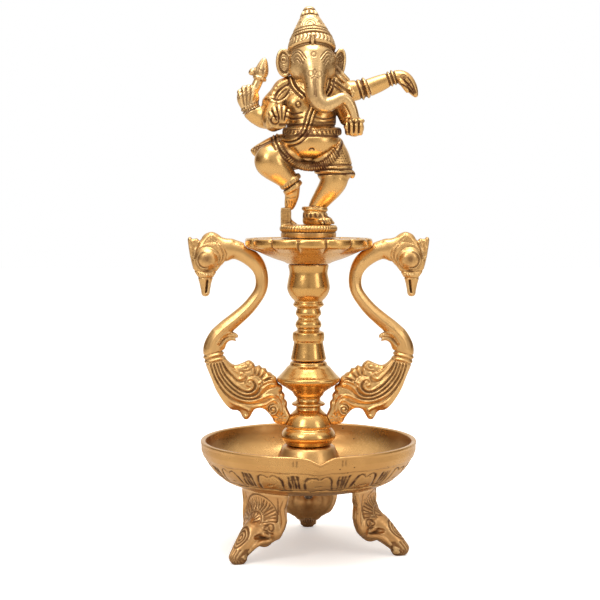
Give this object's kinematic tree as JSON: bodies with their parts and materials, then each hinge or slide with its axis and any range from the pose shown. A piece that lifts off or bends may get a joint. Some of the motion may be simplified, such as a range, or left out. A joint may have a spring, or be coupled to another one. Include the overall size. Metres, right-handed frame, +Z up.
{
  "type": "brass oil lamp",
  "caption": "Three-footed brass oil lamp: a spouted bowl, a turned stem between peacock brackets, and a dancing Ganesha on a scalloped plate.",
  "frame": {"origin": "on the surface that the lamp stands on, at the axis of the stem", "axes": "+Z up along the stem, -Y towards the front, +X to the viewer's right"},
  "size_m": [0.1208, 0.1092, 0.2716],
  "materials": {
    "bowl_brass": "satin, dark in the relief",
    "foot_brass": "satin, dark in the relief",
    "stem_brass": "polished",
    "peacock_brass": "polished, dark in the relief",
    "figure_brass": "polished, dark in the relief",
    "rod_steel": "plain"
  },
  "bodies": {
    "root": {"oil_bowl": "bowl_brass", "foot_left": "foot_brass", "foot_right": "foot_brass", "foot_rear": "foot_brass", "stem_base": "stem_brass", "stem_saucer": "stem_brass", "stem_baluster": "stem_brass", "top_plate": "stem_brass", "peacock_left": "peacock_brass", "peacock_right": "peacock_brass", "tie_rod": "rod_steel", "tie_washer": "rod_steel", "tie_nut": "rod_steel", "figure_base": "figure_brass", "ganesha_body": "figure_brass", "ganesha_outstretched_arm": "figure_brass", "ganesha_raised_hand": "figure_brass"}
  },
  "joints": []
}
